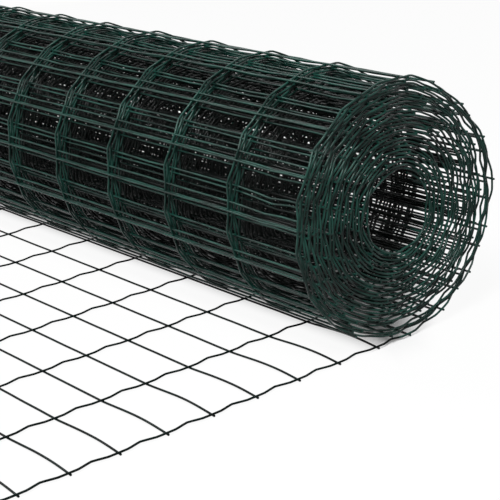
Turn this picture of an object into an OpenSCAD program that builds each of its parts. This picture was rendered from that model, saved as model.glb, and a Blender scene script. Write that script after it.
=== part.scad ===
// Roll of coated welded wire fencing, lying on the floor with its free end paid out flat.
// Units are millimetres. X runs along the roll, +Z is up, and the free end lies towards -Y.
// The origin is on the floor, at the centre of the footprint.

/* [Fence] */
// Height of the fence, between the centres of its two edge wires
fence_h = 1000; // [400:50:2000]
// Spacing of the line wires, which run along the fence
line_pitch = 100; // [50:5:150]
// Spacing of the cross wires, which run up the fence
cross_pitch = 50; // [40:1:100]
// Diameter of a wire over its coating
wire_d = 2.2; // [1.4:0.1:3]
// How far the weld sinks a line wire into a cross wire
weld_sink = 0.4; // [0.1:0.05:0.8]
// Length of each cross wire past the edge wires
stub = 2; // [1.5:0.5:10]

/* [Crimp in each cell of a line wire] */
// Sideways depth of the crimp
crimp_depth = 3.5; // [0.5:0.1:6]
// Length of the crimp along the wire
crimp_len = 30; // [12:1:34]

/* [Roll] */
// Outside diameter of the roll
roll_d = 260; // [180:5:500]
// Diameter of the bore through the roll
bore_d = 74; // [50:2:120]
// Room that one wound turn takes across the roll
turn_pitch = 3.4; // [3.2:0.1:9]

/* [Free end] */
// Number of cross wires on the free end
free_cross_wires = 10; // [2:1:20]
// Gap along the floor from the roll to the first cross wire
first_gap = 9; // [3:0.5:20]
// Length of the cut ends past the last cross wire
cut_len = 22; // [5:1:25]

/* [Hidden] */
coat_colour = [0.06, 0.17, 0.14];
wire_sides = 8;
roll_facets = 80;
seat_facets = 360;

wire_r = wire_d / 2;
roll_r = roll_d / 2;
bore_r = bore_d / 2;

// A whole number of cells fits between the edge wires.
line_cells = max(1, round(fence_h / line_pitch));
line_step = fence_h / line_cells;

// The turns fill the roll evenly, from the bore to the rim.
turns = max(2, floor((roll_r - bore_r) / turn_pitch));
turn_step = (roll_r - bore_r - wire_d) / (turns - 1);

// Half the width of the strip of floor where the roll is lower than a cross wire.
foot_half = sqrt(2 * roll_r * wire_d - wire_d * wire_d);
first_cross = foot_half + first_gap + wire_r;
last_cross = first_cross + (free_cross_wires - 1) * cross_pitch;
free_reach = last_cross + cut_len;

// The cross wires lie on the floor, and the line wires are welded on top of them.
cross_z = wire_r;
line_z = wire_d + wire_r - weld_sink;

// The middle of the roll's foot, set so that the footprint is centred: in X between the stubs on one side
// and the crimps that stand out past the other, and in Y between the cut ends and the rim.
foot_x = max(0, crimp_depth + wire_r - stub) / 2;
foot_y = (free_reach - roll_r) / 2;

// Corner radius of a wire's section, so that it measures wire_d across its flats.
section_r = wire_r / cos(180 / wire_sides);

// Crimp of a line wire: [distance along the cell, sideways offset], from one cross wire to the next.
crimp_start = (cross_pitch - crimp_len) / 2;
crimp_points = [
    [crimp_start, 0],
    [cross_pitch / 2, -crimp_depth],
    [crimp_start + crimp_len, 0]
];

// Places of a line wire's sections: [y from the roll's foot, sideways offset], from its cut end to the roll.
line_stations = concat(
    [[-free_reach, 0]],
    [for (cell = [free_cross_wires - 2 : -1 : 0], point = crimp_points)
        [-(first_cross + (cell + 1) * cross_pitch) + point[0], point[1]]],
    [[0, 0]]
);

// One section of a line wire, a polygon with a flat underneath.
function wire_section(x, y, z) = [
    for (side = [0 : wire_sides - 1])
        let (angle = (side + 0.5) * 360 / wire_sides)
            [x + section_r * cos(angle), y, z + section_r * sin(angle)]
];

// Faces of a tube of `sections` rings of wire_sides points each, with both ends closed.
function tube_faces(sections) = concat(
    [[for (side = [wire_sides - 1 : -1 : 0]) side]],
    [for (ring = [0 : sections - 2], side = [0 : wire_sides - 1])
        let (here = ring * wire_sides, next = here + wire_sides, other = (side + 1) % wire_sides)
            [here + side, here + other, next + other, next + side]],
    [[for (side = [0 : wire_sides - 1]) (sections - 1) * wire_sides + side]]
);

// A crimped line wire of the free end, from its cut end to the line under the roll's axis.
module line_wire(x) {
    polyhedron(
        points = [for (station = line_stations) each wire_section(x + station[1], station[0], line_z)],
        faces = tube_faces(len(line_stations))
    );
}

// A straight cross wire, with a stub past each edge wire.
module cross_wire(y) {
    translate([0, y, cross_z])
        rotate([0, 90, 0])
            rotate([0, 0, 180 / wire_sides])
                cylinder(h = fence_h + 2 * stub, r = section_r, center = true, $fn = wire_sides);
}

// Section of the wound roll: its body, and a round edge wire for every turn at both ends.
module roll_section() {
    translate([bore_r, -fence_h / 2])
        square([roll_r - bore_r, fence_h]);
    for (end = [-1, 1], turn = [0 : turns - 1])
        translate([bore_r + wire_r + turn * turn_step, end * fence_h / 2])
            circle(d = wire_d, $fn = 24);
}

// Places what is drawn along +Z on the roll's axis.
module on_roll_axis() {
    translate([foot_x, foot_y, roll_r])
        rotate([0, 90, 0])
            children();
}

// The roll is turned by half a facet, so that it lies on a facet and not on a corner.
module wound_roll() {
    color(coat_colour)
        on_roll_axis()
            rotate([0, 0, 180 / roll_facets])
                rotate_extrude($fn = roll_facets)
                    roll_section();
}

// The line wires end where they meet the roll.
module free_end() {
    color(coat_colour)
        difference() {
            translate([foot_x, foot_y, 0]) {
                for (line = [0 : line_cells])
                    line_wire(-fence_h / 2 + line * line_step);
                for (cross = [0 : free_cross_wires - 1])
                    cross_wire(-first_cross - cross * cross_pitch);
            }
            on_roll_axis()
                cylinder(h = fence_h + 4 * stub, r = roll_r, center = true, $fn = seat_facets);
        }
}

wound_roll();
free_end();
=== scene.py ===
"""Dresses the roll of coated welded wire fencing, which lies on the floor with its free end paid out.

Sizes are in metres and angles in degrees. X runs along the roll, +Z is up, and the free end lies
towards -Y. "Along" is the distance on the sheet from its cut end, and "across" is the place between
its two edges.
"""

import logging
import math
from dataclasses import dataclass, field
from enum import Enum
from typing import Union

import bpy
from mathutils import Matrix, Vector


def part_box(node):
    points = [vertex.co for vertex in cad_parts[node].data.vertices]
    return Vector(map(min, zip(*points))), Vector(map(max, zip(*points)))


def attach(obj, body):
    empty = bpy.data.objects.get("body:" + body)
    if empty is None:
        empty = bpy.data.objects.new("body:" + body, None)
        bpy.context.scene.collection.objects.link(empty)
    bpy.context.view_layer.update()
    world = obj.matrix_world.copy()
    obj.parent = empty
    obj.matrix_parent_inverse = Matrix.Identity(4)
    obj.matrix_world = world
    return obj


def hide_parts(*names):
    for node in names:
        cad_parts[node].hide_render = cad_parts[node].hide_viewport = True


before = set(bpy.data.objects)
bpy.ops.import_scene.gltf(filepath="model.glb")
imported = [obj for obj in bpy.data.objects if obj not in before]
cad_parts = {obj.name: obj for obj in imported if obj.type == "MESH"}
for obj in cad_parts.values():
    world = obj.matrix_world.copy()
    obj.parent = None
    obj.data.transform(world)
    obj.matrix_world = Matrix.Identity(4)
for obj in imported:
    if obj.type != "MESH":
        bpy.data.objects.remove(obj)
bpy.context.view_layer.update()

log = logging.getLogger("wire_roll")

BODY = "root"

Operand = Union["Field", float]
Colour = tuple[float, float, float]
Sizes = dict[str, Union[float, int, bpy.types.Material]]


class TreeKind(Enum):
    """Kinds of node tree."""

    GEOMETRY = "GeometryNodeTree"
    SHADER = "ShaderNodeTree"


class Socket(Enum):
    """Kinds of socket on the outside of a node tree."""

    FLOAT = "NodeSocketFloat"
    COUNT = "NodeSocketInt"
    VECTOR = "NodeSocketVector"
    COLOUR = "NodeSocketColor"
    SHAPE = "NodeSocketGeometry"
    MATERIAL = "NodeSocketMaterial"


class Stretch(Enum):
    """The two stretches of the sheet: its node in the frame and the name of its material slot."""

    WOUND = ("wound_roll", "wound_wire")
    LAID = ("free_end", "laid_wire")

    @property
    def node(self) -> str:
        """Name of the node that the stretch stands for."""
        return self.value[0]

    @property
    def slot(self) -> str:
        """Name of the stretch's material slot."""
        return self.value[1]


class Field:
    """A number that flows through a node tree, so that sums are written as in plain code."""

    def __init__(self, graph: "Graph", socket: bpy.types.NodeSocket) -> None:
        """Holds an output socket and the graph that it belongs to."""
        self.graph = graph
        self.socket = socket

    def __add__(self, other: Operand) -> "Field":
        """This number plus another."""
        return self.graph.math("ADD", self, other)

    def __sub__(self, other: Operand) -> "Field":
        """This number less another."""
        return self.graph.math("SUBTRACT", self, other)

    def __rsub__(self, other: Operand) -> "Field":
        """Another number less this one."""
        return self.graph.math("SUBTRACT", other, self)

    def __mul__(self, other: Operand) -> "Field":
        """This number times another."""
        return self.graph.math("MULTIPLY", self, other)

    def __truediv__(self, other: Operand) -> "Field":
        """This number over another."""
        return self.graph.math("DIVIDE", self, other)

    __radd__ = __add__
    __rmul__ = __mul__

    def at_least(self, low: Operand) -> "Field":
        """The larger of this number and another."""
        return self.graph.math("MAXIMUM", self, low)

    def at_most(self, high: Operand) -> "Field":
        """The smaller of this number and another."""
        return self.graph.math("MINIMUM", self, high)

    def whole(self) -> "Field":
        """The whole part of this number."""
        return self.graph.math("FLOOR", self)

    def fraction(self) -> "Field":
        """What is left of this number past its whole part."""
        return self.graph.math("FRACT", self)

    def magnitude(self) -> "Field":
        """This number without its sign."""
        return self.graph.math("ABSOLUTE", self)

    def sine(self) -> "Field":
        """Sine of this number in radians."""
        return self.graph.math("SINE", self)

    def cosine(self) -> "Field":
        """Cosine of this number in radians."""
        return self.graph.math("COSINE", self)

    def ramp(self, low: float, high: float) -> "Field":
        """Rises smoothly from 0 to 1.

        Args:
            low: Value at which the rise starts.
            high: Value at which the rise is complete.

        Returns:
            The height of the rise.
        """
        node = self.graph.node(
            "ShaderNodeMapRange",
            {"Value": self, "From Min": low, "From Max": high},
            interpolation_type="SMOOTHSTEP",
        )
        return Field(self.graph, node.outputs["Result"])


class Graph:
    """A node tree in the making, with short ways to add its nodes and links."""

    def __init__(
        self, name: str, kind: TreeKind, inputs: dict[str, Socket], outputs: dict[str, Socket]
    ) -> None:
        """Starts a tree with the given sockets.

        Args:
            name: Name of the tree.
            kind: What the tree makes.
            inputs: Sockets that take values in, by name.
            outputs: Sockets that give values out, by name.
        """
        self.tree = bpy.data.node_groups.new(name, kind.value)
        for side, sockets in (("INPUT", inputs), ("OUTPUT", outputs)):
            for label, socket in sockets.items():
                self.tree.interface.new_socket(label, in_out=side, socket_type=socket.value)
        self._source = self.tree.nodes.new("NodeGroupInput")
        self._result = self.tree.nodes.new("NodeGroupOutput")

    def take(self, label: str) -> Field:
        """The value that comes in at an input of the tree."""
        return Field(self, self._source.outputs[label])

    def give(self, label: str, value: Field) -> None:
        """Sends a value to an output of the tree."""
        self.tree.links.new(value.socket, self._result.inputs[label])

    def node(
        self, kind: str, inputs: dict[Union[str, int], object], **settings: object
    ) -> bpy.types.Node:
        """Adds a node.

        Args:
            kind: The node's type.
            inputs: Fields or plain values for its sockets, by name or place.
            **settings: The node's own settings, set before its sockets.

        Returns:
            The new node.
        """
        node = self.tree.nodes.new(kind)
        for setting, value in settings.items():
            setattr(node, setting, value)
        for label, value in inputs.items():
            if isinstance(value, Field):
                self.tree.links.new(value.socket, node.inputs[label])
            else:
                node.inputs[label].default_value = value
        return node

    def put(
        self,
        kind: str,
        inputs: dict[Union[str, int], object],
        out: Union[str, int] = 0,
        **settings: object,
    ) -> Field:
        """Adds a node and takes one of its outputs, with the arguments of node()."""
        return Field(self, self.node(kind, inputs, **settings).outputs[out])

    def math(self, operation: str, *values: Operand) -> Field:
        """Adds a Math node."""
        return self.put("ShaderNodeMath", dict(enumerate(values)), operation=operation)

    def vector(self, x: Operand, y: Operand, z: Operand) -> Field:
        """Puts three numbers together as a vector."""
        return self.put("ShaderNodeCombineXYZ", {"X": x, "Y": y, "Z": z})

    def axes(self, vector: Field) -> tuple[Field, Field, Field]:
        """Takes a vector apart into its three numbers."""
        node = self.node("ShaderNodeSeparateXYZ", {"Vector": vector})
        return Field(self, node.outputs[0]), Field(self, node.outputs[1]), Field(self, node.outputs[2])

    def vector_math(self, operation: str, *values: object, out: str = "Vector") -> Field:
        """Adds a Vector Math node on vectors."""
        return self.put("ShaderNodeVectorMath", dict(enumerate(values)), out, operation=operation)

    def scaled(self, vector: object, factor: Operand) -> Field:
        """A vector times a number."""
        return self.put(
            "ShaderNodeVectorMath", {"Vector": vector, "Scale": factor}, operation="SCALE"
        )

    def noise(self, x: Operand, y: Operand, z: Operand) -> Field:
        """Adds smooth noise.

        Args:
            x: First number of the place in the noise.
            y: Second number of the place.
            z: Third number of the place.

        Returns:
            The noise at that place, from about -1 to 1.
        """
        place = self.vector(x, y, z)
        raw = self.put("ShaderNodeTexNoise", {"Vector": place, "Scale": 1.0, "Detail": 1.0})
        return (raw - 0.5) * 2.0

    def group(self, tree: bpy.types.NodeTree, inputs: dict[str, object]) -> bpy.types.Node:
        """Places another tree as one node of this one."""
        kind = "GeometryNodeGroup" if tree.bl_idname == TreeKind.GEOMETRY.value else "ShaderNodeGroup"
        return self.node(kind, inputs, node_tree=tree)


@dataclass(frozen=True)
class Fence:
    """The flat sheet of welded mesh, as it was made."""

    height: float = 1.0
    line_pitch: float = 0.1
    cross_pitch: float = 0.05
    wire_d: float = 0.0022
    weld_sink: float = 0.0004
    stub: float = 0.0012
    crimp_depth: float = 0.0036
    crimp_half: float = 0.31
    crimp_peak: float = 0.47
    crimp_round: float = 0.3
    cut_len: float = 0.022
    length: float = 15.0

    @property
    def line_wires(self) -> int:
        """Number of line wires."""
        return round(self.height / self.line_pitch) + 1

    @property
    def cross_lift(self) -> float:
        """Distance from a line wire's centre out to a cross wire's."""
        return self.wire_d - self.weld_sink

    @property
    def skin(self) -> float:
        """Distance from a line wire's centre out to the outside of the sheet."""
        return self.cross_lift + self.wire_d / 2

    def cross_wires_before(self, along: float) -> int:
        """Number of cross wires between the cut end and a place on the sheet."""
        return math.floor((along - self.cut_len) / self.cross_pitch) + 1


@dataclass(frozen=True)
class LooseGap:
    """A gap between two turns, on one side of the roll.

    Attributes:
        opens: Turn at which the path starts to drop inwards.
        closes: Turn at which it has dropped by the whole room.
        angle: Middle of that side.
        half_width: Angle from the middle to where the gap starts.
        room: Width of the gap.
    """

    opens: float
    closes: float
    angle: float
    half_width: float
    room: float


@dataclass(frozen=True)
class Swell:
    """A place where the outer turns stand out of round.

    Attributes:
        angle: Middle of the place.
        half_width: Angle from the middle to where the swell starts.
        height: Distance outwards, below 0 for a flat.
        depth: Number of turns that it reaches in.
    """

    angle: float
    half_width: float
    height: float
    depth: float


@dataclass(frozen=True)
class Creep:
    """A wave in how far the cells of the inner turns have crept along the roll's path.

    Attributes:
        length: Distance on the sheet from crest to crest.
        phase: Angle of the wave at the roll's foot, in radians.
        amount: Largest distance crept.
    """

    length: float
    phase: float
    amount: float


@dataclass(frozen=True)
class Wave:
    """A wave round each turn that makes it out of round, and drifts from turn to turn.

    Attributes:
        count: Number of crests in a turn.
        drift: Angle that the wave moves on by with each turn, in radians.
        phase: Angle of the wave at the roll's foot, in radians.
    """

    count: float
    drift: float
    phase: float


@dataclass(frozen=True)
class Dent:
    """A push on the wires near a point on the roll.

    Attributes:
        centre: The point.
        reach: Distance from it at which the push has died away.
        shift: The push at the point itself.
    """

    centre: tuple[float, float, float]
    reach: float
    shift: tuple[float, float, float]


@dataclass
class Winding:
    """How the sheet is wound. Turns count inwards from the roll's foot, and angles from it towards +Y."""

    fence: Fence
    mid_x: float
    axis_y: float
    axis_z: float
    reach: float
    # The spiral and its bore.
    turns: float = 26.495
    outer_turns: float = 5.0
    outer_pitch: float = 0.00254
    take_up: float = 0.958
    foot_slack: float = 0.0073
    points_per_turn: int = 240
    bore_r: float = 0.037
    bore_shift_y: float = 0.00101
    bore_drop: float = 0.00187
    # Where the slack is lost at the foot, and the length in which the sheet then works loose.
    slack_before: float = 0.034
    slack_past: float = 0.016
    loose_past: float = 0.2
    # Drift of the turns along the roll's axis.
    wander: float = 0.0026
    wander_length: float = 0.45
    wander_seed: tuple[float, float] = (7.0, 0.0)
    # Small bumps of the sheet, in and out.
    unevenness: float = 0.0004
    uneven_along: float = 9.0
    uneven_across: float = 7.0
    uneven_seed: float = 11.0
    # The top, sunk between the line wires. Heights are in radii of the roll.
    top_sag: float = 0.0022
    sag_from: float = 1.55
    sag_full: float = 1.9
    sag_least: float = 0.5
    sag_spread: float = 0.8
    sag_step: float = 3.7
    sag_seed: tuple[float, float] = (3.0, 9.0)
    # Turns out of round, from where the winding has settled.
    settle_from: float = 0.02
    settle_full: float = 0.3
    lump: float = 0.00025
    lump_waves: tuple[Wave, ...] = (Wave(2.0, 0.9, 1.0), Wave(3.0, -1.7, 0.0))
    ripple: float = 0.00015
    ripple_scale: float = 4.5
    ripple_drift: float = 1.1
    ripple_seed: float = 40.0
    # Share of a swell's depth that is held in full, and share of a side's width that is its crown.
    swell_hold: float = 0.4
    side_crown: float = 0.35
    gaps: tuple[LooseGap, ...] = (
        LooseGap(0.84, 0.97, -10, 45, 0.00294),
        LooseGap(3.35, 3.92, 55, 105, 0.0050),
        LooseGap(12.4, 13.05, 78, 80, 0.00435),
        LooseGap(17.4, 18.05, 85, 75, 0.00360),
        LooseGap(21.4, 22.05, 85, 70, 0.00159),
    )
    swells: tuple[Swell, ...] = (
        Swell(90, 18, 0.0040, 1.0),
        Swell(142, 28, -0.0040, 8.0),
        Swell(163, 12, 0.0014, 1.0),
        Swell(238, 26, 0.0008, 3.0),
    )
    creeps: tuple[Creep, ...] = (
        Creep(3.343, 3.811, 0.00473),
        Creep(2.244, 5.169, 0.00453),
        Creep(0.688, 5.450, 0.00075),
        Creep(0.351, 2.154, 0.00047),
    )
    creep_from: float = 3.8
    creep_full: float = 4.6
    dents: tuple[Dent, ...] = (
        Dent((0.45, 0.0646, 0.1677), 0.036, (0.0, 0.0, -0.004)),
    )
    _path: Graph = field(init=False)
    _sheet: Graph = field(init=False)

    def __post_init__(self) -> None:
        """Builds the node groups that the wires follow."""
        self._path = self._build_path()
        self._sheet = self._build_sheet()

    @property
    def foot_r(self) -> float:
        """Radius of the line wires at the roll's foot."""
        return self.axis_z - self.fence.skin

    @property
    def lead(self) -> float:
        """Length of the free end, counted in turns at the foot's radius."""
        return self.reach / (math.tau * self.foot_r)

    def _side(self, angle: Field, centre: float, half_width: float) -> Field:
        """Rises from 0 to 1 on one side of the roll.

        Args:
            angle: Angle round the roll, in radians.
            centre: Middle of that side, in degrees.
            half_width: Angle from the middle to where the rise starts, in degrees.

        Returns:
            The height of the rise.
        """
        foot, crown = math.radians(half_width), math.radians(half_width * self.side_crown)
        return (angle - math.radians(centre)).cosine().ramp(math.cos(foot), math.cos(crown))

    def _build_path(self) -> Graph:
        """Makes the tree of the line that the sheet follows, seen from its edge.

        Returns:
            The tree, with the path as its output.
        """
        sizes = ("Turns", "Foot Radius", "Bore Radius", "Lead")
        graph = Graph(
            "Wound path",
            TreeKind.GEOMETRY,
            {size: Socket.FLOAT for size in sizes},
            {"Path": Socket.SHAPE},
        )
        turns, foot_r, lead = graph.take("Turns"), graph.take("Foot Radius"), graph.take("Lead")
        count = round((self.turns + self.lead) * self.points_per_turn)
        line = graph.put("GeometryNodeCurvePrimitiveLine", {})
        fine = graph.put("GeometryNodeResampleCurve", {"Curve": line, "Count": count}, mode="COUNT")
        place = graph.put("GeometryNodeSplineParameter", {}, "Factor") * (turns + lead) - lead
        wound = place.at_least(0.0)
        angle = wound * math.tau
        bore = (
            graph.take("Bore Radius")
            + self.fence.wire_d / 2
            + angle.sine() * self.bore_shift_y
            + angle.cosine() * self.bore_drop
        )
        gaps = [(gap, self._side(angle, gap.angle, gap.half_width) * gap.room) for gap in self.gaps]
        outer = wound.at_most(self.outer_turns)
        inner = (wound - outer) / (turns - self.outer_turns)
        packed = foot_r - bore - self.outer_turns * self.outer_pitch
        for _, room in gaps:
            packed = packed - room
        radius = foot_r - outer * self.outer_pitch - inner * packed
        for gap, room in gaps:
            radius = radius - room * wound.ramp(gap.opens, gap.closes)
        for swell in self.swells:
            fade = 1.0 - wound.ramp(self.swell_hold * swell.depth, swell.depth)
            radius = radius + self._side(angle, swell.angle, swell.half_width) * fade * swell.height
        settled = wound.ramp(self.settle_from, self.settle_full)
        for wave in self.lump_waves:
            lump = (angle * wave.count + wound * wave.drift + wave.phase).sine()
            radius = radius + settled * lump * (self.lump / len(self.lump_waves))
        ripples = graph.noise(
            angle.sine() * self.ripple_scale,
            angle.cosine() * self.ripple_scale,
            wound * self.ripple_drift + self.ripple_seed,
        )
        radius = radius + settled * ripples * self.ripple
        position = graph.vector(
            0.0,
            angle.sine() * radius + place.at_most(0.0) * foot_r * math.tau + self.axis_y,
            self.axis_z - angle.cosine() * radius,
        )
        path = graph.put("GeometryNodeSetPosition", {"Geometry": fine, "Position": position})
        graph.give("Path", path)
        return graph

    def _build_sheet(self) -> Graph:
        """Makes the tree that turns a place on the flat sheet into its place on the wound one.

        Returns:
            The tree, with the place as its output.
        """
        graph = Graph(
            "Sheet point",
            TreeKind.GEOMETRY,
            {
                "Path": Socket.SHAPE,
                "Along": Socket.FLOAT,
                "Across": Socket.FLOAT,
                "Lift": Socket.FLOAT,
                "Sideways": Socket.FLOAT,
            },
            {"Position": Socket.VECTOR},
        )
        along, across = graph.take("Along"), graph.take("Across")
        wound = (along - self.reach).at_least(0.0)
        distance = along - wound * (1.0 - self.take_up)
        past_foot = along.ramp(self.reach - self.slack_before, self.reach + self.slack_past)
        distance = distance - past_foot * self.foot_slack
        inner = wound.ramp(self.creep_from, self.creep_full)
        for creep in self.creeps:
            wave = (wound * (math.tau / creep.length) + creep.phase).sine()
            distance = distance - wave * inner * creep.amount
        sample = graph.node(
            "GeometryNodeSampleCurve",
            {"Curves": graph.take("Path"), "Length": distance},
            mode="LENGTH",
            use_all_curves=True,
        )
        tangent = Field(graph, sample.outputs["Tangent"])
        _, run_y, run_z = graph.axes(tangent)
        outward = graph.vector(0.0, run_z, 0.0 - run_y)
        on_roll = along.ramp(self.reach, self.reach + self.loose_past)
        drift = graph.noise(along / self.wander_length, *self.wander_seed) * on_roll * self.wander
        bumps = graph.noise(along * self.uneven_along, across * self.uneven_across, self.uneven_seed)
        uneven = bumps * on_roll * self.unevenness
        point = Field(graph, sample.outputs["Position"])
        point = graph.vector_math("ADD", point, graph.vector(across + drift + self.mid_x, 0.0, 0.0))
        point = graph.vector_math("ADD", point, graph.scaled(outward, graph.take("Lift") + uneven))
        point = graph.vector_math("ADD", point, graph.scaled(tangent, graph.take("Sideways")))
        sag = self._sag(graph, across, point)
        point = graph.vector_math("SUBTRACT", point, graph.vector(0.0, 0.0, sag))
        start = point
        for dent in self.dents:
            away = graph.vector_math("DISTANCE", start, dent.centre, out="Value")
            push = 1.0 - away.ramp(0.0, dent.reach)
            point = graph.vector_math("ADD", point, graph.scaled(dent.shift, push))
        graph.give("Position", point)
        return graph

    def _sag(self, graph: Graph, across: Field, point: Field) -> Field:
        """Finds how far the top of the roll has sunk between two line wires.

        Args:
            graph: The tree.
            across: Place between the two edges of the sheet.
            point: Place on the wound sheet.

        Returns:
            The distance down.
        """
        _, _, z = graph.axes(point)
        between = (across * (math.pi / self.fence.line_pitch)).sine()
        bay = (across / self.fence.line_pitch).whole()
        trod = graph.noise(bay * self.sag_step, *self.sag_seed) * self.sag_spread + self.sag_least
        near_top = z.ramp(self.axis_z * self.sag_from, self.axis_z * self.sag_full)
        return near_top * between * between * trod * self.top_sag

    def path(self, graph: Graph) -> Field:
        """Places the wound path in a tree.

        Args:
            graph: The tree that needs the path.

        Returns:
            The path, as a curve.
        """
        sizes = {
            "Turns": self.turns,
            "Foot Radius": self.foot_r,
            "Bore Radius": self.bore_r,
            "Lead": self.lead,
        }
        return Field(graph, graph.group(self._path.tree, sizes).outputs["Path"])

    def point(
        self,
        graph: Graph,
        path: Field,
        along: Operand,
        across: Operand,
        lift: Operand = 0.0,
        sideways: Operand = 0.0,
    ) -> Field:
        """Finds a place on the wound sheet.

        Args:
            graph: The tree that needs the place.
            path: The wound path in that tree.
            along: Distance on the sheet from its cut end.
            across: Place between the two edges, from the middle.
            lift: Distance out of the sheet, away from the roll's axis.
            sideways: Distance along the sheet that a bent wire is out of its place.

        Returns:
            The place, as a vector.
        """
        inputs = {"Path": path, "Along": along, "Across": across, "Lift": lift, "Sideways": sideways}
        return Field(graph, graph.group(self._sheet.tree, inputs).outputs["Position"])


@dataclass(frozen=True)
class CoatFinish:
    """Satin plastic coat on steel wire: mottled and with a fine grain, and painted near black on the roll's
    inner turns as painted shade.
    """

    name: str
    deep: Colour
    pale: Colour
    # Painted shade: the near-black colour of the inner turns, where the roll shades itself.
    painted_shade: Colour = (0.0006, 0.0030, 0.0022)
    smooth: float = 0.12
    rough: float = 0.26
    mottle_scale: float = 45.0
    grain_scale: float = 1400.0
    grain_depth: float = 0.00002
    specular: float = 0.17

    def build(self, coat: bpy.types.NodeTree, winding: Winding) -> bpy.types.Material:
        """Makes the material.

        Args:
            coat: The shader group of the coat's colour, roughness and grain.
            winding: The wound sheet, whose inner turns take the painted shade colour.

        Returns:
            The material.
        """
        material = bpy.data.materials.new(self.name)
        material.use_nodes = True
        tree = material.node_tree
        shader = tree.nodes["Principled BSDF"]
        shader.inputs["Specular IOR Level"].default_value = self.specular
        surface = tree.nodes.new("ShaderNodeGroup")
        surface.node_tree = coat
        values = {
            "Deep": (*self.deep, 1.0),
            "Pale": (*self.pale, 1.0),
            "Painted Shade": (*self.painted_shade, 1.0),
            "Axis": (winding.mid_x, winding.axis_y, winding.axis_z),
            "Roll Radius": winding.axis_z,
            "Half Length": winding.fence.height / 2,
            "Smooth": self.smooth,
            "Rough": self.rough,
            "Mottle Scale": self.mottle_scale,
            "Grain Scale": self.grain_scale,
        }
        for label, value in values.items():
            surface.inputs[label].default_value = value
        bump = tree.nodes.new("ShaderNodeBump")
        bump.inputs["Distance"].default_value = self.grain_depth
        tree.links.new(surface.outputs["Colour"], shader.inputs["Base Color"])
        tree.links.new(surface.outputs["Roughness"], shader.inputs["Roughness"])
        tree.links.new(surface.outputs["Grain"], bump.inputs["Height"])
        tree.links.new(bump.outputs["Normal"], shader.inputs["Normal"])
        return material


@dataclass(frozen=True)
class PlasticCoat:
    """Pattern of the coat: its mottled colour on the outer turns and at the roll's ends, and painted shade,
    near black, on the turns within them.
    """

    # Depths in from the roll's outside and from its ends over which the painted shade of the inner turns
    # gives way to the coat's colour.
    rim_shade_full: float = -0.024
    rim_shade_gone: float = -0.012
    end_shade_full: float = -0.022
    end_shade_gone: float = -0.002
    mottle_deep: float = 0.32
    mottle_pale: float = 0.68
    mottle_detail: float = 3.0
    grain_detail: float = 2.0
    grain_share: float = 0.4

    @staticmethod
    def _mix(graph: Graph, share: Field, first: Field, second: Field) -> Field:
        """Mixes two colours, from all of the first at 0 to all of the second at 1."""
        return graph.put("ShaderNodeMix", {"Factor": share, 6: first, 7: second}, 2, data_type="RGBA")

    @staticmethod
    def _speckle(graph: Graph, place: Field, scale: Field, detail: float) -> Field:
        """Noise from 0 to 1 at a place."""
        return graph.put("ShaderNodeTexNoise", {"Vector": place, "Scale": scale, "Detail": detail})

    def build(self) -> bpy.types.NodeTree:
        """Makes the shader group of the coat.

        Returns:
            The group, with the coat's colour, roughness and grain as its outputs.
        """
        graph = Graph(
            "Plastic coat",
            TreeKind.SHADER,
            {
                "Deep": Socket.COLOUR,
                "Pale": Socket.COLOUR,
                "Painted Shade": Socket.COLOUR,
                "Axis": Socket.VECTOR,
                "Roll Radius": Socket.FLOAT,
                "Half Length": Socket.FLOAT,
                "Smooth": Socket.FLOAT,
                "Rough": Socket.FLOAT,
                "Mottle Scale": Socket.FLOAT,
                "Grain Scale": Socket.FLOAT,
            },
            {"Colour": Socket.COLOUR, "Roughness": Socket.FLOAT, "Grain": Socket.FLOAT},
        )
        place = graph.put("ShaderNodeTexCoord", {}, "Object")
        mottle = self._speckle(graph, place, graph.take("Mottle Scale"), self.mottle_detail)
        grain = self._speckle(graph, place, graph.take("Grain Scale"), self.grain_detail)
        x, y, z = graph.axes(graph.vector_math("SUBTRACT", place, graph.take("Axis")))
        radius = graph.vector_math("LENGTH", graph.vector(0.0, y, z), out="Value")
        # Painted shade: away from the roll's outside and its ends, the inner turns take the near-black
        # shade colour in place of the mottled one.
        rim_unshaded = (radius - graph.take("Roll Radius")).ramp(self.rim_shade_full, self.rim_shade_gone)
        end_unshaded = (x.magnitude() - graph.take("Half Length")).ramp(self.end_shade_full, self.end_shade_gone)
        pale_share = mottle.ramp(self.mottle_deep, self.mottle_pale)
        mottled_colour = self._mix(graph, pale_share, graph.take("Deep"), graph.take("Pale"))
        colour = self._mix(graph, rim_unshaded.at_least(end_unshaded), graph.take("Painted Shade"), mottled_colour)
        smooth, rough = graph.take("Smooth"), graph.take("Rough")
        wear = mottle * (1.0 - self.grain_share) + grain * self.grain_share
        graph.give("Colour", colour)
        graph.give("Roughness", smooth + (rough - smooth) * wear)
        graph.give("Grain", grain)
        return graph.tree


def grow(name: str, tree: bpy.types.NodeTree, sizes: Sizes) -> bpy.types.Object:
    """Makes a plain mesh from a geometry tree.

    Args:
        name: Name of the piece.
        tree: The tree that makes its shape.
        sizes: Values for the tree's inputs, by name.

    Returns:
        The piece, at the origin, with no modifier.
    """
    piece = bpy.data.objects.new(name, bpy.data.meshes.new(name))
    bpy.context.scene.collection.objects.link(piece)
    modifier = piece.modifiers.new(name, "NODES")
    modifier.node_group = tree
    for item in tree.interface.items_tree:
        if item.in_out == "INPUT":
            modifier[item.identifier] = sizes[item.name]
    graph = bpy.context.evaluated_depsgraph_get()
    mesh = bpy.data.meshes.new_from_object(piece.evaluated_get(graph), depsgraph=graph)
    piece.modifiers.remove(modifier)
    piece.data = mesh
    mesh.name = name
    return piece


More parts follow.
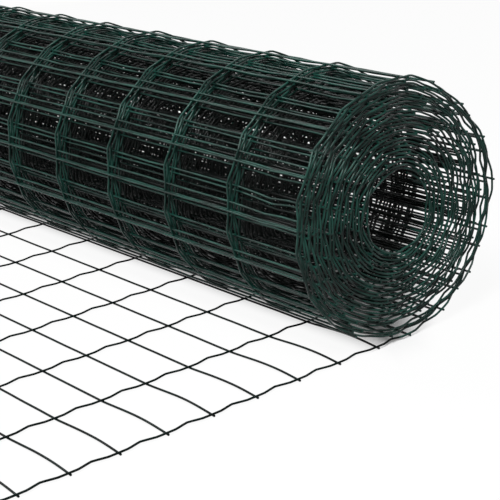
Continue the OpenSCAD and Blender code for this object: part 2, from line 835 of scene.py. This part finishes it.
@dataclass
class MeshStretch:
    """One stretch of the welded mesh: its line wires, its cross wires and their welds."""

    fence: Fence
    winding: Winding
    stretch: Stretch
    start: float
    end: float
    material: bpy.types.Material
    sides: int
    line_groups: tuple[int, ...]
    line_step: float = 0.005
    cross_parts: int = 42
    weld_r: float = 0.00145
    bend: float = 0.0
    bend_along: float = 37.0
    bend_across: float = 14.0
    lift_seed: float = 5.0
    sideways_seed: float = 25.0
    edge_bow: float = 0.0
    edge_skew: float = 1.25
    pieces: list[bpy.types.Object] = field(default_factory=list)

    def build(self) -> None:
        """Makes the pieces of the stretch."""
        first = 0
        tree = self._line_tree()
        for number, count in enumerate(self.line_groups, 1):
            name = f"{self.stretch.node}_line_wires_{number}"
            self._add(name, tree, {"First Wire": first, "Wires": count})
            first += count
        self._add(f"{self.stretch.node}_cross_wires", self._cross_tree(), {})
        self._add(f"{self.stretch.node}_welds", self._weld_tree(), {})

    def dress(self) -> None:
        """Ties each piece to the frame."""
        for piece in self.pieces:
            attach(piece, BODY)
            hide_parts(self.stretch.node)

    @property
    def first_cross(self) -> int:
        """Number of the stretch's first cross wire, counted from the cut end."""
        return self.fence.cross_wires_before(self.start)

    @property
    def cross_count(self) -> int:
        """Number of cross wires on the stretch."""
        return self.fence.cross_wires_before(self.end) - self.first_cross

    def _add(self, name: str, tree: bpy.types.NodeTree, sizes: Sizes) -> None:
        """Makes one piece and reports it.

        Args:
            name: Name of the piece.
            tree: The tree that makes its shape.
            sizes: Values for inputs that only this tree has.
        """
        common: Sizes = {
            "Start": self.start,
            "End": self.end,
            "Line Pitch": self.fence.line_pitch,
            "Cross Pitch": self.fence.cross_pitch,
            "Wire Radius": self.fence.wire_d / 2,
            "Weld Radius": self.weld_r,
            "Crimp Depth": self.fence.crimp_depth,
            "Stub": self.fence.stub,
            "First Cross": self.first_cross,
            "Crosses": self.cross_count,
            "Coat": self.material,
        }
        piece = grow(name, tree, {**common, **sizes})
        piece.data.calc_loop_triangles()
        log.info("%s: %d triangles", name, len(piece.data.loop_triangles))
        self.pieces.append(piece)

    def _tube(self, graph: Graph, curve: Field) -> None:
        """Gives a curve its round section, shades it and sends it out of the tree.

        Args:
            graph: The tree.
            curve: The middle lines of the wires.
        """
        section = graph.put(
            "GeometryNodeCurvePrimitiveCircle",
            {"Resolution": self.sides, "Radius": graph.take("Wire Radius")},
            mode="RADIUS",
        )
        tube = graph.put(
            "GeometryNodeCurveToMesh", {"Curve": curve, "Profile Curve": section, "Fill Caps": True}
        )
        self._finish(graph, tube, self.sides)

    @staticmethod
    def _finish(graph: Graph, shape: Field, cap_corners: int) -> None:
        """Shades a shape smooth apart from its caps, and ends the tree.

        Args:
            graph: The tree.
            shape: The shape so far.
            cap_corners: Number of corners of a face that stays flat.
        """
        corners = graph.put("GeometryNodeCornersOfFace", {}, "Total")
        round_side = graph.math("LESS_THAN", corners, cap_corners)
        smooth = graph.put(
            "GeometryNodeSetShadeSmooth", {0: shape, "Shade Smooth": round_side}, domain="FACE"
        )
        whole = graph.put("GeometryNodeRealizeInstances", {0: smooth})
        coated = graph.put("GeometryNodeSetMaterial", {0: whole, "Material": graph.take("Coat")})
        graph.give("Wires", coated)

    def _strands(self, graph: Graph, parts: int, amount: Field) -> tuple[Field, Field, Field]:
        """Makes straight strands to be laid in place.

        Args:
            graph: The tree.
            parts: Number of pieces of each strand.
            amount: Number of strands.

        Returns:
            The strands, how far along its strand each point is from 0 to 1, and its strand's number.
        """
        line = graph.put("GeometryNodeCurvePrimitiveLine", {})
        strand = graph.put("GeometryNodeResampleCurve", {"Curve": line, "Count": parts + 1}, mode="COUNT")
        copies = graph.node(
            "GeometryNodeDuplicateElements", {"Geometry": strand, "Amount": amount}, domain="SPLINE"
        )
        share = graph.put("GeometryNodeSplineParameter", {}, "Factor")
        number = Field(graph, copies.outputs["Duplicate Index"])
        return Field(graph, copies.outputs["Geometry"]), share, number

    def _line_tree(self) -> bpy.types.NodeTree:
        """Makes the tree of the crimped line wires.

        Returns:
            The tree, with the line wires as its output.
        """
        graph = Graph(
            f"{self.stretch.node} line wires",
            TreeKind.GEOMETRY,
            {
                "Start": Socket.FLOAT,
                "End": Socket.FLOAT,
                "First Wire": Socket.COUNT,
                "Wires": Socket.COUNT,
                "Line Pitch": Socket.FLOAT,
                "Cross Pitch": Socket.FLOAT,
                "Crimp Depth": Socket.FLOAT,
                "Wire Radius": Socket.FLOAT,
                "Coat": Socket.MATERIAL,
            },
            {"Wires": Socket.SHAPE},
        )
        parts = round((self.end - self.start) / self.line_step)
        strands, share, number = self._strands(graph, parts, graph.take("Wires"))
        along = graph.take("Start") + share * (graph.take("End") - graph.take("Start"))
        cell = ((along - self.fence.cut_len) / graph.take("Cross Pitch")).fraction()
        rise = (1.0 - (cell - self.fence.crimp_peak).magnitude() / self.fence.crimp_half).at_least(0.0)
        rounded = rise.ramp(0.0, 1.0) * self.fence.crimp_round
        crimp = (rise * (1.0 - self.fence.crimp_round) + rounded) * graph.take("Crimp Depth")
        wire = graph.take("First Wire") + number
        across = wire * graph.take("Line Pitch") - self.fence.height / 2 - crimp
        place = self.winding.point(graph, self.winding.path(graph), along, across)
        self._tube(graph, graph.put("GeometryNodeSetPosition", {"Geometry": strands, "Position": place}))
        return graph.tree

    def _cross_tree(self) -> bpy.types.NodeTree:
        """Makes the tree of the cross wires, which are straight apart from small bends between their welds.

        Returns:
            The tree, with the cross wires as its output.
        """
        graph = Graph(
            f"{self.stretch.node} cross wires",
            TreeKind.GEOMETRY,
            {
                "First Cross": Socket.COUNT,
                "Crosses": Socket.COUNT,
                "Line Pitch": Socket.FLOAT,
                "Cross Pitch": Socket.FLOAT,
                "Stub": Socket.FLOAT,
                "Wire Radius": Socket.FLOAT,
                "Coat": Socket.MATERIAL,
            },
            {"Wires": Socket.SHAPE},
        )
        strands, share, number = self._strands(graph, self.cross_parts, graph.take("Crosses"))
        along = (graph.take("First Cross") + number) * graph.take("Cross Pitch") + self.fence.cut_len
        half = graph.take("Stub") + self.fence.height / 2
        across = (share * 2.0 - 1.0) * half
        cell = (across + self.fence.height / 2) / graph.take("Line Pitch")
        free = (cell * math.pi).sine()
        give = free * free * self.bend
        inset = self.fence.height / 2 - across.magnitude()
        share_out = (1.0 - inset / self.fence.line_pitch).at_least(0.0).at_most(1.0)
        bow = (graph.math("POWER", share_out, self.edge_skew) * math.pi).sine() * self.edge_bow
        spot = (across * self.bend_across, along * self.bend_along)
        lift = graph.noise(*spot, self.lift_seed) * give + self.fence.cross_lift - bow
        sideways = graph.noise(*spot, self.sideways_seed) * give
        place = self.winding.point(graph, self.winding.path(graph), along, across, lift, sideways)
        self._tube(graph, graph.put("GeometryNodeSetPosition", {"Geometry": strands, "Position": place}))
        return graph.tree

    def _weld_tree(self) -> bpy.types.NodeTree:
        """Makes the tree of the welds, a small bead of coat at each crossing.

        Returns:
            The tree, with the welds as its output.
        """
        graph = Graph(
            f"{self.stretch.node} welds",
            TreeKind.GEOMETRY,
            {
                "First Cross": Socket.COUNT,
                "Crosses": Socket.COUNT,
                "Line Pitch": Socket.FLOAT,
                "Cross Pitch": Socket.FLOAT,
                "Weld Radius": Socket.FLOAT,
                "Coat": Socket.MATERIAL,
            },
            {"Wires": Socket.SHAPE},
        )
        lines = self.fence.line_wires
        index = graph.put("GeometryNodeInputIndex", {})
        row = (index / lines + 0.5 / lines).whole()  # half a step in, so that rounding can't miss a row
        along = (graph.take("First Cross") + row) * graph.take("Cross Pitch") + self.fence.cut_len
        across = (index - row * lines) * graph.take("Line Pitch") - self.fence.height / 2
        place = self.winding.point(
            graph, self.winding.path(graph), along, across, self.fence.cross_lift / 2
        )
        points = graph.put("GeometryNodePoints", {"Count": graph.take("Crosses") * lines})
        points = graph.put("GeometryNodeSetPosition", {"Geometry": points, "Position": place})
        bead = graph.put(
            "GeometryNodeMeshIcoSphere", {"Radius": graph.take("Weld Radius"), "Subdivisions": 1}
        )
        beads = graph.put("GeometryNodeInstanceOnPoints", {"Points": points, "Instance": bead})
        whole = graph.put("GeometryNodeRealizeInstances", {0: beads})
        self._finish(graph, whole, self.sides)
        return graph.tree


@dataclass(frozen=True)
class Lamp:
    """A soft square lamp: its name, its place, the side of its face and its power in watts."""

    name: str
    place: Vector
    size: float
    power: float

    def hang(self, aim: Vector) -> None:
        """Hangs the lamp.

        Args:
            aim: The point that it faces.
        """
        data = bpy.data.lights.new(self.name, "AREA")
        data.size = self.size
        data.energy = self.power
        lamp = bpy.data.objects.new(self.name, data)
        lamp.location = self.place
        lamp.rotation_euler = (aim - self.place).to_track_quat("-Z", "Y").to_euler()
        bpy.context.scene.collection.objects.link(lamp)


@dataclass(frozen=True)
class Studio:
    """The plain white floor and backdrop, the lamps and the camera."""

    roll_low: Vector
    roll_high: Vector
    # The camera. Its roll turns it about its line of sight.
    eye: Vector = Vector((1.4945, -0.7610, 0.5726))
    aim: Vector = Vector((0.5601, -0.0369, 0.1661))
    roll: float = -4.47
    lens: float = 109.97
    sensor: float = 36.0
    # The floor, its glow near the roll and in the open, and the distances over which that changes.
    floor_half: float = 12.0
    floor_drop: float = 0.0003
    floor_white: float = 1.0
    floor_bounce: float = 0.15
    floor_glow: float = 0.94
    glow_near: float = 0.05
    glow_clear: float = 0.4
    glow_full: float = 0.65
    far_from: float = 0.8
    far_full: float = 2.0
    glow_edge: float = -0.03
    glow_soft: float = 0.08
    glow_front: float = 0.4
    floor_rough: float = 0.9
    # The light.
    sky_light: float = 0.12
    lamp_aim: Vector = Vector((0.2, 0.1, 0.1))
    lamps: tuple[Lamp, ...] = (
        Lamp("key_lamp", Vector((1.46, -1.44, 2.5)), 0.8, 72.0),
        Lamp("top_lamp", Vector((0.9, -0.7, 2.8)), 0.6, 20.0),
        Lamp("front_lamp", Vector((-2.2, -1.2, 2.4)), 0.8, 24.0),
    )

    def build(self) -> None:
        """Makes the floor, the world, the lamps and the camera."""
        self._floor()
        self._world()
        for lamp in self.lamps:
            lamp.hang(self.lamp_aim)
        self._camera()

    @staticmethod
    def _seen(tree: bpy.types.NodeTree) -> bpy.types.NodeSocket:
        """Adds a mask of the rays that show the background: to the camera, off gloss or through glass.

        Args:
            tree: The tree of the floor's material or of the world.

        Returns:
            The mask, 1 for those rays and 0 for the rest.
        """
        path = tree.nodes.new("ShaderNodeLightPath")
        total = path.outputs["Is Camera Ray"]
        for label in ("Is Glossy Ray", "Is Transmission Ray"):
            either = tree.nodes.new("ShaderNodeMath")
            either.operation = "MAXIMUM"
            tree.links.new(total, either.inputs[0])
            tree.links.new(path.outputs[label], either.inputs[1])
            total = either.outputs[0]
        return total

    def _floor(self) -> None:
        """Makes the floor, white to the camera, with the object's shadow kept."""
        half = self.floor_half
        mesh = bpy.data.meshes.new("floor")
        corners = [(-half, -half), (half, -half), (half, half), (-half, half)]
        mesh.from_pydata([(x, y, -self.floor_drop) for x, y in corners], [], [(0, 1, 2, 3)])
        floor = bpy.data.objects.new("floor", mesh)
        bpy.context.scene.collection.objects.link(floor)
        material = bpy.data.materials.new("white_floor")
        material.use_nodes = True
        tree = material.node_tree
        paint = tree.nodes["Principled BSDF"]
        paint.inputs["Roughness"].default_value = self.floor_rough
        paint.inputs["Specular IOR Level"].default_value = 0.0
        seen = self._seen(tree)
        white = tree.nodes.new("ShaderNodeMix")
        white.inputs["A"].default_value = self.floor_bounce
        white.inputs["B"].default_value = self.floor_white
        tree.links.new(seen, white.inputs["Factor"])
        tree.links.new(white.outputs["Result"], paint.inputs["Base Color"])
        glow = tree.nodes.new("ShaderNodeEmission")
        open_floor = tree.nodes.new("ShaderNodeGroup")
        open_floor.node_tree = self._open_floor()
        share = tree.nodes.new("ShaderNodeMath")
        share.operation = "MULTIPLY"
        tree.links.new(seen, share.inputs[0])
        tree.links.new(open_floor.outputs["Share"], share.inputs[1])
        mix = tree.nodes.new("ShaderNodeMixShader")
        tree.links.new(share.outputs[0], mix.inputs["Fac"])
        tree.links.new(paint.outputs[0], mix.inputs[1])
        tree.links.new(glow.outputs[0], mix.inputs[2])
        tree.links.new(mix.outputs[0], tree.nodes["Material Output"].inputs["Surface"])
        mesh.materials.append(material)

    def _open_floor(self) -> bpy.types.NodeTree:
        """Makes the shader group of the floor's glow, which fades behind the roll, where its shadow lies.

        Returns:
            The group, with the glow's share from 0 to 1 as its output.
        """
        graph = Graph("Open floor", TreeKind.SHADER, {}, {"Share": Socket.FLOAT})
        place = graph.put("ShaderNodeTexCoord", {}, "Object")
        x, y, _ = graph.axes(place)
        middle = (self.roll_low + self.roll_high) / 2
        half = (self.roll_high - self.roll_low) / 2
        beyond = (x - middle.x).magnitude() - half.x + (y - middle.y).at_least(0.0)
        past_end = beyond.ramp(self.glow_edge, self.glow_edge + self.glow_soft)
        behind = (y - self.roll_high.y).ramp(self.glow_clear, self.glow_full)
        before = (middle.y - y).ramp(0.0, self.glow_front * half.y)
        open_share = past_end.at_least(behind).at_least(before)
        share = open_share * (self.floor_glow - self.glow_near) + self.glow_near
        far = graph.vector_math("LENGTH", place, out="Value").ramp(self.far_from, self.far_full)
        graph.give("Share", share.at_least(far))
        return graph.tree

    def _world(self) -> None:
        """Makes the backdrop, white to the camera and a soft light to the rest."""
        world = bpy.data.worlds.new("studio")
        bpy.context.scene.world = world
        world.use_nodes = True
        tree = world.node_tree
        sky = tree.nodes["Background"]
        sky.inputs["Color"].default_value = (1.0, 1.0, 1.0, 1.0)
        strength = tree.nodes.new("ShaderNodeMix")
        strength.inputs["A"].default_value = self.sky_light
        strength.inputs["B"].default_value = 1.0
        tree.links.new(self._seen(tree), strength.inputs["Factor"])
        tree.links.new(strength.outputs["Result"], sky.inputs["Strength"])

    def _camera(self) -> None:
        """Makes the camera at the photograph's viewing angle."""
        data = bpy.data.cameras.new("camera")
        data.lens = self.lens
        data.sensor_width = self.sensor
        camera = bpy.data.objects.new("camera", data)
        turn = (self.aim - self.eye).to_track_quat("-Z", "Y").to_matrix().to_4x4()
        tilt = Matrix.Rotation(math.radians(self.roll), 4, "Z")
        camera.matrix_world = Matrix.Translation(self.eye) @ turn @ tilt
        bpy.context.scene.collection.objects.link(camera)
        bpy.context.scene.camera = camera


def main() -> None:
    """Builds the wound roll, its free end and the studio."""
    logging.basicConfig(level=logging.INFO, format="%(message)s")
    bpy.context.scene.view_settings.view_transform = "Standard"
    roll_low, roll_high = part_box(Stretch.WOUND.node)
    tail_low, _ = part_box(Stretch.LAID.node)
    mid_x, axis_y, axis_z = ((low + high) / 2 for low, high in zip(roll_low, roll_high))
    fence = Fence()
    winding = Winding(fence, mid_x, axis_y, axis_z, axis_y - tail_low[1])
    coat = PlasticCoat().build()
    wound_coat = CoatFinish("wound_coat", (0.0022, 0.020, 0.015), (0.011, 0.065, 0.049))
    # The laid coat is the wound coat painted much darker and with less gloss: a shaded copy of the same
    # coat, as painted shade on the free end.
    laid_coat_shaded = CoatFinish("laid_coat_shaded", (0.001, 0.004, 0.003), (0.002, 0.010, 0.008), specular=0.08)
    stretches = (
        MeshStretch(
            fence,
            winding,
            Stretch.WOUND,
            start=winding.reach,
            end=fence.length,
            material=wound_coat.build(coat, winding),
            sides=6,
            line_groups=(4, 4, 3),
            bend=0.0016,
        ),
        MeshStretch(
            fence,
            winding,
            Stretch.LAID,
            start=0.0,
            end=winding.reach,
            material=laid_coat_shaded.build(coat, winding),
            sides=8,
            line_groups=(11,),
            cross_parts=200,
            bend=0.0004,
            edge_bow=0.0026,
        ),
    )
    for stretch in stretches:
        stretch.build()
        stretch.dress()
    Studio(Vector(roll_low), Vector(roll_high)).build()


if __name__ == "__main__":
    main()
